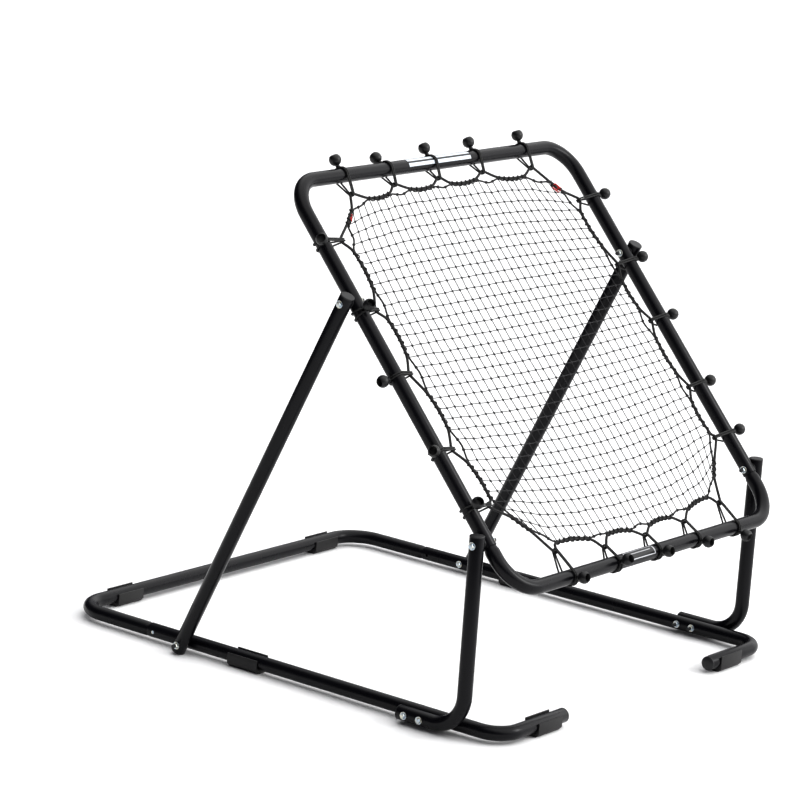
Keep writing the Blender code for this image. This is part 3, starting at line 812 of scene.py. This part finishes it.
# %% Smooth paths and swept cords
def smooth_path(points, closed, per_span=6, tension=0.5):
    """Points on a soft curve through the given ones (a cardinal spline)."""
    count = len(points)
    spans = count if closed else count - 1
    path = []
    for k in range(spans):
        at = [points[(k + j) % count] if closed else points[min(max(k + j, 0), count - 1)]
              for j in (-1, 0, 1, 2)]
        out, into = (at[2] - at[0]) * tension, (at[3] - at[1]) * tension
        for step in range(per_span):
            t = step / per_span
            path.append(at[1] * (2 * t ** 3 - 3 * t ** 2 + 1) + out * (t ** 3 - 2 * t ** 2 + t)
                        + at[2] * (3 * t ** 2 - 2 * t ** 3) + into * (t ** 3 - t ** 2))
    return path if closed else [*path, points[-1]]


def path_length(path, closed=False):
    ends = path[1:] + path[:1] if closed else path[1:]
    return sum((b - a).length for a, b in zip(path, ends))


def sweep(bm, path, radius, up, sides=8, closed=False):
    """Pull a circle of a radius along a path, inside an existing bmesh."""
    weave = bm.verts.layers.float_vector.get("weave") or bm.verts.layers.float_vector.new("weave")
    count = len(path)
    before, along = None, 0.0
    for k, at in enumerate(path):
        ahead = path[(k + 1) % count] if closed or k + 1 < count else at
        behind = path[k - 1] if closed or k else at
        heading = (ahead - behind).normalized()
        across = heading.cross(up).normalized()
        place = Matrix((across, across.cross(heading), -heading)).transposed().to_4x4()
        place.translation = at
        if before is None:
            made = bmesh.ops.create_circle(bm, segments=sides, radius=radius, matrix=place,
                                           cap_ends=not closed)["verts"]
            edges = list({e for v in made for e in v.link_edges})
            first, first_place = made, place
        else:
            grown = bmesh.ops.extrude_edge_only(bm, edges=edges)["geom"]
            made, edges = only(bmesh.types.BMVert, grown), only(bmesh.types.BMEdge, grown)
            bmesh.ops.transform(bm, matrix=place @ before.inverted(), verts=made)
            along += (at - path[k - 1]).length
        for v in made:
            local = place.inverted() @ v.co
            v[weave] = (local.x / radius, local.y / radius, along)
        before = place
    if closed:
        grown = bmesh.ops.extrude_edge_only(bm, edges=edges)["geom"]
        made = only(bmesh.types.BMVert, grown)
        bmesh.ops.transform(bm, matrix=first_place @ before.inverted(), verts=made)
        bmesh.ops.weld_verts(bm, targetmap={v: min(first, key=lambda w: (w.co - v.co).length)
                                            for v in made})
    else:
        bmesh.ops.contextual_create(bm, geom=edges)
    return bm


# %% [markdown]
# ## The lacing plan
#
# Twenty bungees pull the net's border outward, and each draws it into a peak. The plan goes round
# the frame clockwise as seen from the front. A row gives one bungee: its place along the tube,
# how far in from the tube its peak is, where the two cords of the border part on each side of the
# peak (place and distance in), and how deep the inner cord sags below the opening. The real
# lacing was tied by hand, so no two rows are quite alike.

# %% The lacing plan
TOP = [(-0.324, 0.046, -0.348, 0.083, -0.281, 0.064, 0.004),
       (-0.168, 0.038, -0.197, 0.059, -0.127, 0.056, 0.008),
       (-0.008, 0.037, -0.040, 0.056, 0.022, 0.057, 0.007),
       (0.155, 0.038, 0.118, 0.056, 0.196, 0.060, 0.010),
       (0.338, 0.045, 0.296, 0.066, 0.372, 0.087, 0.008)]
RIGHT = [(0.731, 0.053, 0.757, 0.095, 0.700, 0.075, 0.007),
         (0.555, 0.046, 0.600, 0.066, 0.520, 0.065, 0.005),
         (0.403, 0.041, 0.437, 0.062, 0.363, 0.062, 0.012),
         (0.225, 0.041, 0.262, 0.060, 0.192, 0.063, 0.008),
         (0.092, 0.051, 0.106, 0.063, 0.040, 0.105, 0.003)]
BOTTOM = [(0.330, 0.063, 0.360, 0.122, 0.302, 0.085, 0.003),
          (0.170, 0.044, 0.203, 0.070, 0.135, 0.064, 0.007),
          (0.014, 0.040, 0.045, 0.061, -0.022, 0.060, 0.008),
          (-0.141, 0.040, -0.112, 0.067, -0.172, 0.068, 0.004),
          (-0.306, 0.062, -0.290, 0.081, -0.345, 0.120, 0.003)]
LEFT = [(0.075, 0.066, 0.040, 0.117, 0.087, 0.085, 0.002),
        (0.213, 0.049, 0.178, 0.076, 0.258, 0.073, 0.011),
        (0.397, 0.046, 0.350, 0.069, 0.438, 0.070, 0.010),
        (0.553, 0.051, 0.528, 0.073, 0.600, 0.079, 0.009),
        (0.725, 0.062, 0.697, 0.083, 0.757, 0.107, 0.009)]
EDGES = {"top": (TOP, lambda a, d: Vector((a, PANEL_TOP - d, 0)), X_AXIS),
         "right": (RIGHT, lambda a, d: Vector((PANEL_X - d, a, 0)), -Y_AXIS),
         "bottom": (BOTTOM, lambda a, d: Vector((a, PANEL_BOTTOM + d, 0)), -X_AXIS),
         "left": (LEFT, lambda a, d: Vector((d - PANEL_X, a, 0)), Y_AXIS)}
VALLEY_BOW = 0.005
ROPE_R, SELVAGE_R = 0.0029, 0.0020

peaks = []
for edge, (rows, spot, onward) in EDGES.items():
    for a, d, a0, d0, a1, d1, sag in rows:
        peaks.append({"edge": edge, "at": spot(a, d), "before": spot(a0, d0),
                      "after": spot(a1, d1), "sag": sag, "onward": onward})
print(len(peaks), "peaks in the border")

# %% [markdown]
# ## The border
#
# Two cords make the border. The outer one is a rope that climbs to each bungee. The inner one, the
# selvage, carries the net and bridges each peak with a shallow sag. Between two peaks they run
# together. Both are closed paths in the frame's plane. The outer rope keeps to the outside where
# they touch, so they lie side by side.


# %% Border cords
def inward_of(a, b):
    """The side of a step that faces the net's middle, going clockwise."""
    step = (b - a).normalized()
    return Vector((step.y, -step.x, 0))


outer_route, inner_route, valleys = [], [], []
for k, peak in enumerate(peaks):
    following = peaks[(k + 1) % len(peaks)]
    flat = peak["onward"] * 0.0045
    here, there = peak["after"], following["before"]
    valley_in = inward_of(here, there)
    bow = 0.0 if peak["edge"] != following["edge"] else VALLEY_BOW
    gap_in = inward_of(peak["before"], peak["after"])
    beside = valley_in * (ROPE_R * 0.95)
    middle = (here + there) / 2 + valley_in * bow
    valleys.append((here, there, valley_in, bow))
    outer_route += [peak["before"] - gap_in * ROPE_R * 0.95, peak["at"] - flat, peak["at"] + flat,
                    here - beside, middle - beside]
    sag = (peak["before"] + peak["after"]) / 2 + gap_in * peak["sag"]
    inner_route += [peak["before"] + gap_in * SELVAGE_R, sag, here + valley_in * SELVAGE_R * 0.9,
                    middle + valley_in * SELVAGE_R * 0.9]

outer_path = smooth_path(outer_route, True, 5, 0.36)
inner_path = smooth_path(inner_route, True, 6, 0.45)
rope_bm = sweep(bmesh.new(), outer_path, ROPE_R, Z_AXIS, 10, True)
finish_piece("border_rope_outer", rope_bm, rope_braid, "panel", ["border_rope"],
             PANEL)
selvage_bm = sweep(bmesh.new(), inner_path, SELVAGE_R, Z_AXIS, 8, True)
finish_piece("border_selvage", selvage_bm, rope_braid, "panel", (), PANEL)
print(f"outer rope {path_length(outer_path, True):.2f} m,",
      f"selvage {path_length(inner_path, True):.2f} m")

# %% [markdown]
# Between the peaks, a thin lashing winds round both cords and holds them together. It is a helix
# on the line where they touch, a little wider across the two cords than it is deep.

# %% Lashing
LASHING_R, LASHING_STEP = 0.0014, 0.016
random.seed(3)
lashing_bm = bmesh.new()
turns = 0
for here, there, valley_in, bow in valleys:
    windings = max(2, round((there - here).length / LASHING_STEP))
    helix = []
    for n in range(windings * 8 + 1):
        t = n / (windings * 8)
        angle = t * windings * 2 * math.pi
        touch = here.lerp(there, t) + valley_in * bow * 4 * t * (1 - t) * 0.9
        loose = random.uniform(0.9, 1.06)
        helix.append(touch + valley_in * (0.0057 * loose * math.cos(angle) - 0.0008)
                     + Z_AXIS * 0.0039 * math.sin(angle))
    sweep(lashing_bm, helix, LASHING_R, (there - here).normalized(), 5)
    turns += windings
finish_piece("border_lashing", lashing_bm, rope_braid, "panel", (), PANEL)
print(turns, "turns of lashing")

# %% [markdown]
# ## The net
#
# The net is 31 meshes each way, knotted at every crossing, and each edge knot is tied to the
# selvage. A cloth simulation would need a day of tuning to hang it right, but a net in tension
# has a simple rule: every knot sits at the middle of its four neighbours. So a flat grid has its
# edge pinned to the selvage at even steps, and the smoothing operator is run until the inside
# stops moving. The corners then gather by themselves.

# %% The net's knots
MESHES, NET_HALF, NET_MIDDLE = 31, 0.43, 0.39
CORNERS = [Vector((-0.371, 0.774, 0)), Vector((0.388, 0.772, 0)), Vector((0.377, 0.020, 0)),
           Vector((-0.365, 0.020, 0))]


def edge_knots(corner, following):
    """Knots at even steps along the selvage from one corner of the net to the next."""
    start = min(range(len(inner_path)), key=lambda k: (inner_path[k] - corner).length)
    stop = min(range(len(inner_path)), key=lambda k: (inner_path[k] - following).length)
    stop += len(inner_path) if stop <= start else 0
    part = [inner_path[k % len(inner_path)] for k in range(start, stop + 1)]
    step = path_length(part) / MESHES
    knots, walked, target = [part[0]], 0.0, step
    for a, b in zip(part, part[1:]):
        length = (b - a).length
        while walked + length >= target - 1e-9 and len(knots) < MESHES:
            knots.append(a.lerp(b, (target - walked) / length))
            target += step
        walked += length
    return knots[:MESHES]


border = []
for k in range(4):
    border += edge_knots(CORNERS[k], CORNERS[(k + 1) % 4])

grid = bmesh.new()
bmesh.ops.create_grid(grid, x_segments=MESHES, y_segments=MESHES, size=NET_HALF,
                      matrix=Matrix.Translation((0, NET_MIDDLE, 0)))
column = {round(-NET_HALF + 2 * NET_HALF * k / MESHES, 5): k for k in range(MESHES + 1)}
knot = {}
for v in grid.verts:
    knot[column[round(v.co.x, 5)], column[round(v.co.y - NET_MIDDLE, 5)]] = v
for k in range(MESHES):
    knot[k, MESHES].co = border[k]
    knot[MESHES, MESHES - k].co = border[MESHES + k]
    knot[MESHES - k, 0].co = border[2 * MESHES + k]
    knot[0, k].co = border[3 * MESHES + k]
inside = [v for v in grid.verts if not v.is_boundary]
for _ in range(700):
    bmesh.ops.smooth_vert(grid, verts=inside, factor=1.0, use_axis_x=True, use_axis_y=True)
middle_mesh = (knot[15, 15].co - knot[16, 15].co).length
print(f"{len(grid.verts)} knots, {middle_mesh * 1000:.1f} mm meshes in the middle")

# %% [markdown]
# A tied net is never a perfect drawing. Each knot has slipped a little, and the slack threads near
# the corners sag out of the plane. Both are small seeded moves, so every run gives the same net.

# %% Slack in the net
random.seed(7)
for (i, j), v in knot.items():
    if v.is_boundary:
        continue
    near_edge = min(i, j, MESHES - i, MESHES - j)
    loose = 0.0011 if near_edge < 5 else 0.0006
    v.co += Vector((random.uniform(-loose, loose), random.uniform(-loose, loose), 0))
    belly = math.sin(math.pi * i / MESHES) * math.sin(math.pi * j / MESHES)
    v.co.z -= 0.006 * belly + random.uniform(0, 0.0008)
rows = [[knot[i, j].co.copy() for i in range(MESHES + 1)] for j in range(1, MESHES)]
columns = [[knot[i, j].co.copy() for j in range(MESHES + 1)] for i in range(1, MESHES)]
knots_at = [v.co.copy() for v in grid.verts if not v.is_boundary]
edge_at = [v.co.copy() for v in grid.verts if v.is_boundary]
grid.free()
print(f"net {sum(path_length(line) for line in rows + columns):.0f} m of thread")

# %% [markdown]
# The threads are swept through the knots with five sides, and the knots are small flattened
# balls with few faces, because there are nine hundred of them. Where the rope runs beside the
# selvage, an edge knot is tied round both, which makes the border lumpy.

# %% Threads and knots
THREAD_R = 0.00092
threads = bmesh.new()
for line in rows + columns:
    sweep(threads, smooth_path(line, False, 2), THREAD_R, Z_AXIS, 5)
finish_piece("net_threads", threads, net_thread, "panel", ["net"], PANEL)

knots = bmesh.new()
for at in knots_at:
    turn = Matrix.Rotation(random.uniform(0, math.pi), 4, "Z")
    shape = Matrix.Diagonal((0.0037, 0.0029, 0.0024, 1))
    bmesh.ops.create_icosphere(knots, subdivisions=1, radius=1.0,
                               matrix=Matrix.Translation(at) @ turn @ shape)
for at in edge_at:
    beside = min(outer_path, key=lambda point: (point - at).length)
    apart = beside - at
    both = apart.length < 0.008
    centre = (at + beside) / 2 if both else at
    turn = Matrix.Rotation(math.atan2(apart.y, apart.x), 4, "Z")
    shape = Matrix.Diagonal((apart.length / 2 + 0.0040 if both else 0.0036, 0.0040, 0.0042, 1))
    bmesh.ops.create_icosphere(knots, subdivisions=1, radius=1.0,
                               matrix=Matrix.Translation(centre) @ turn @ shape)
finish_piece("net_knots", knots, net_thread, "panel", (), PANEL)
print(len(knots_at), "knots inside,", len(edge_at), "on the selvage")

# %% [markdown]
# ## Ball bungees
#
# A bungee is an elastic cord whose two strands leave a plastic ball together. They go over the
# tube and round the border, and the loop comes back behind the tube and hooks over the knot under
# the ball. In front the strands lie side by side, and behind they spread. So each strand is one
# closed path round the tube: close to its twin in front, and apart behind.

# %% Bungee shapes
CORD_R, NECK_OUT, BALL_R, BALL_OUT = 0.0020, 0.0225, 0.0134, 0.0374
BALLS = {"top": (172, 195, 172, 170, 164), "bottom": (120, 106, 118, 127, 148),
         "left": (139, 104, 193, 151, 106), "right": (160, 150, 164, 166, 160)}


def strand_path(reach, degrees, hand):
    """One strand in the bungee's own space: the tube along Z, the net towards +X."""
    wrap, small = TUBE_R + CORD_R + 0.0002, ROPE_R + CORD_R + 0.0001
    meet = math.acos((wrap - small) / reach)
    ball = math.radians(degrees)
    points = []

    def put(angle, radius, spread, centre=0.0):
        points.append(Vector((centre + radius * math.cos(angle), radius * math.sin(angle),
                              hand * spread)))

    put(ball, NECK_OUT, 0.0015)
    for k in range(1, 8):
        put(ball + (meet - ball) * k / 7, wrap, 0.0022)
    for k in range(5):
        put(meet - 2 * meet * k / 4, small, 0.0022, reach)
    for k in range(8):
        t = k / 7
        put(-meet + (ball - 2 * math.pi + meet) * t, wrap, 0.0024 + 0.0052 * (1 - t ** 3))
    return smooth_path(points, True, 3, 0.5)


def ball_bm():
    """A ball on its neck, along +Z from the tube's axis, with a deep round recess in its end."""
    steps = [(BALL_R * math.sin(a), BALL_OUT - BALL_R * math.cos(a))
             for a in (math.radians(d) for d in range(24, 137, 8))]
    top = steps[-1][1]
    return turned([(0, 0.0170), (0.0030, 0.0172), (0.0044, 0.0195), (0.0048, 0.0225),
                   (0.0042, 0.0245), *steps, (0.0090, top + 0.0004), (0.0084, top - 0.0004),
                   (0.0078, top - 0.0110), (0, top - 0.0125)], 32)


TOWARDS_NET = {"top": -math.pi / 2, "bottom": math.pi / 2, "left": 0.0, "right": math.pi}
BAR = {"top": lambda a: (a, PANEL_TOP, 0), "bottom": lambda a: (a, PANEL_BOTTOM, 0),
       "left": lambda a: (-PANEL_X, a, 0), "right": lambda a: (PANEL_X, a, 0)}
print("ball", round(BALL_R * 2000), "mm, cord", round(CORD_R * 2000, 1), "mm")

# %% [markdown]
# The plan's rows go clockwise, while the solids are numbered from the left and from the top. So
# the bottom and the left edge are counted backwards.

# %% Twenty bungees
strand_lengths = []
for edge, (rows_of_edge, _, _) in EDGES.items():
    for order, (a, d, *_) in enumerate(rows_of_edge):
        number = order + 1 if edge in ("top", "right") else 5 - order
        degrees = BALLS[edge][number - 1]
        place = (PANEL @ Matrix.Translation(BAR[edge](a))
                 @ Matrix.Rotation(TOWARDS_NET[edge], 4, "Z")
                 @ Matrix.Rotation(math.pi / 2, 4, "X"))
        cord = bmesh.new()
        for hand in (-1, 1):
            strand = strand_path(d, degrees, hand)
            strand_lengths.append(path_length(strand, True))
            sweep(cord, strand, CORD_R, Z_AXIS, 8, True)
        finish_piece(f"bungee_cord_{edge}_{number}", cord, elastic_sheath, "panel",
                     [f"bungee_{edge}_{number}"], place)
        lean = (Matrix.Rotation(math.radians(degrees), 4, "Z")
                @ Matrix.Rotation(math.pi / 2, 4, "Y"))
        finish_piece(f"bungee_ball_{edge}_{number}", ball_bm(), ball_plastic, "panel", (),
                     place @ lean)
print("bungees done:", sum(p.name.startswith("bungee_ball") for p in made_pieces))
print("bungee strands", round(min(strand_lengths) * 1000), "to",
      round(max(strand_lengths) * 1000), "mm,", round(sum(strand_lengths), 2), "m in all")

# %% [markdown]
# ## Markers and stickers
#
# A short red thread is knotted round the border at each of the net's top corners, to show which
# way up the net goes.

# %% Markers
for corner, (side, word) in zip(CORNERS, SIDES):
    size = 0.7 if side < 0 else 1.0
    bm = bmesh.new()
    for k in range(4):
        centre = corner + Vector((side * 0.003 * k - side * 0.004, 0.004 - 0.0035 * k, 0))
        loop = [centre + size * Vector((math.cos(t) * 0.0036, math.sin(t) * 0.0036,
                                        math.sin(t + 0.8) * 0.0045))
                for t in (2 * math.pi * n / 12 for n in range(12))]
        sweep(bm, loop, 0.0013, Vector((1, 0.35, 0)), 6, True)
    finish_piece(f"corner_marker_{word}", bm, marker_thread, "panel", (), PANEL)

# %% [markdown]
# A thin black sticker with a silver frame is wrapped on the bottom bar, and the top bar has two
# plain pale stripes. A sticker starts as a flat grid. Each of its points is then rolled round the
# bar, and the sheet is given a tenth of a millimetre of thickness. Its own `sheet` attribute runs
# from -1 to 1 each way, so the print can be drawn with sums.


# %% Stickers
def band(value, low, high, soft=0.02):
    """1 where the value lies between two limits."""
    return value.between(low - soft, low + soft) * (1 - value.between(high - soft, high + soft))


label = Finish("sticker_black", Roughness=0.35)
along, across, _ = label.attribute("sheet")
far_along, far_across = along.math("ABSOLUTE", along), across.math("ABSOLUTE", across)
frame_line = (band(far_along, 0.90, 0.95) * (1 - far_across.between(0.80, 0.82))).larger(
    band(far_across, 0.68, 0.82) * (1 - far_along.between(0.93, 0.95)))
rule = band(across, 0.10, 0.26) * (1 - far_along.between(0.70, 0.72))
wear = label.noise(220, 3).between(0.20, 0.50) * 0.35 + 0.65
label.set(Base_Color=label.blend(frame_line.larger(rule * 0.6) * wear, (0.006, 0.006, 0.007, 1),
                                 (0.62, 0.63, 0.66, 1)))

stripe_finish = Finish("sticker_stripes", Roughness=0.38)
_, across, _ = stripe_finish.attribute("sheet")
far_across = across.math("ABSOLUTE", across)
wear = stripe_finish.noise(260, 3).between(0.22, 0.46) * 0.3 + 0.7
stripe_finish.set(Base_Color=stripe_finish.blend(band(far_across, 0.20, 0.86, 0.03) * wear,
                                                 (0.006, 0.006, 0.008, 1), (0.66, 0.71, 0.76, 1)))


def sticker(name, finish, x_from, x_to, bar, low, high):
    """A sheet rolled round a cross bar between two angles, where 0 is the bar's front."""
    bm = bmesh.new()
    bmesh.ops.create_grid(bm, x_segments=12, y_segments=14, size=1.0)
    sheet = bm.verts.layers.float_vector.new("sheet")
    for v in bm.verts:
        u, w = v.co.x, v.co.y
        v[sheet] = (u, w, 0)
        angle = math.radians(low + (high - low) * (w + 1) / 2)
        v.co = (x_from + (x_to - x_from) * (u + 1) / 2,
                bar + (TUBE_R + 0.00012) * math.sin(angle), (TUBE_R + 0.00012) * math.cos(angle))
    bmesh.ops.solidify(bm, geom=bm.faces[:], thickness=-0.0001)
    finish_piece(name, bm, finish, "panel", (), PANEL)


sticker("sticker_bottom_bar", label, -0.116, -0.002, PANEL_BOTTOM, -42, 58)
sticker("sticker_top_bar", stripe_finish, -0.104, 0.122, PANEL_TOP, -38, 52)

# %% [markdown]
# ## Studio floor and the last steps
#
# The floor is a plain pale sheet just under the soles.

# %% Floor
floor_finish = Finish("studio_floor", Roughness=0.9)
floor_finish.set(Base_Color=floor_finish.blend(floor_finish.noise(0.4), (0.93, 0.93, 0.93, 1),
                                               (0.95, 0.95, 0.95, 1)))
floor_bm = bmesh.new()
bmesh.ops.create_grid(floor_bm, x_segments=1, y_segments=1, size=60,
                      matrix=Matrix.Translation((0, 0, -0.0004)))
floor_mesh = bpy.data.meshes.new("floor")
floor_bm.to_mesh(floor_mesh)
floor_bm.free()
floor_mesh.materials.append(floor_finish.material)
floor = bpy.data.objects.new("floor", floor_mesh)
bpy.context.scene.collection.objects.link(floor)

# %% Sizes and finish
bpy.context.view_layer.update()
triangles = sum(len(face.vertices) - 2 for piece in made_pieces for face in piece.data.polygons)
print(len(made_pieces), "pieces,", triangles, "triangles")
